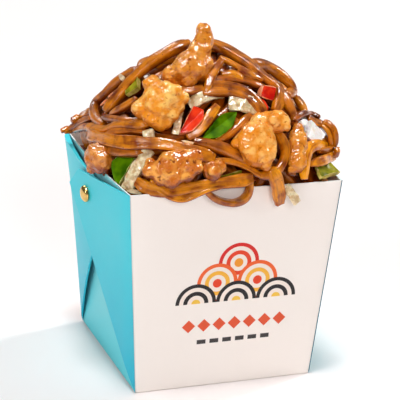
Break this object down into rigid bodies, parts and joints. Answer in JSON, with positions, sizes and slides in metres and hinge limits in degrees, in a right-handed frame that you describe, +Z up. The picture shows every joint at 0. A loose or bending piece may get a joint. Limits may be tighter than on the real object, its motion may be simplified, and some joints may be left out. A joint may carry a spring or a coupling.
{
  "type": "noodle takeaway box",
  "caption": "Tapered card takeaway carton with folded side webs held by brass rivets, heaped above its open rim with stir-fried noodles, chicken, peppers and onion.",
  "frame": {"origin": "centre of the carton's underside, where it stands on the table", "axes": "+X to the right along the front panel, -Y out of the printed front panel, +Z up"},
  "size_m": [0.1211, 0.1147, 0.1698],
  "materials": {
    "carton_card": "white coated card with turquoise printed side panels, satin",
    "brass": "pale polished brass",
    "noodles": "thick wheat noodles glazed with dark soy sauce, oily gloss",
    "chicken": "lumpy fried chicken in golden to amber glaze, part gloss",
    "green_pepper": "green pepper, waxy skin and pale cut edges",
    "red_pepper": "red pepper, waxy skin and paler orange cut edges",
    "onion": "cooked white onion and cabbage, translucent satin"
  },
  "bodies": {
    "root": {"carton": "carton_card", "rivet_left": "brass", "rivet_right": "brass", "noodle_heap": "noodles", "chicken_1": "chicken", "chicken_2": "chicken", "chicken_3": "chicken", "chicken_4": "chicken", "chicken_5": "chicken", "chicken_6": "chicken", "chicken_7": "chicken", "chicken_8": "chicken", "chicken_9": "chicken", "chicken_10": "chicken", "pepper_green_1": "green_pepper", "pepper_green_2": "green_pepper", "pepper_green_3": "green_pepper", "pepper_green_4": "green_pepper", "pepper_green_5": "green_pepper", "pepper_green_6": "green_pepper", "pepper_green_7": "green_pepper", "pepper_red_1": "red_pepper", "pepper_red_2": "red_pepper", "pepper_red_3": "red_pepper", "pepper_red_4": "red_pepper", "onion_1": "onion", "onion_2": "onion", "onion_3": "onion", "onion_4": "onion", "onion_5": "onion", "onion_6": "onion", "onion_7": "onion", "onion_8": "onion", "onion_9": "onion"}
  },
  "joints": []
}
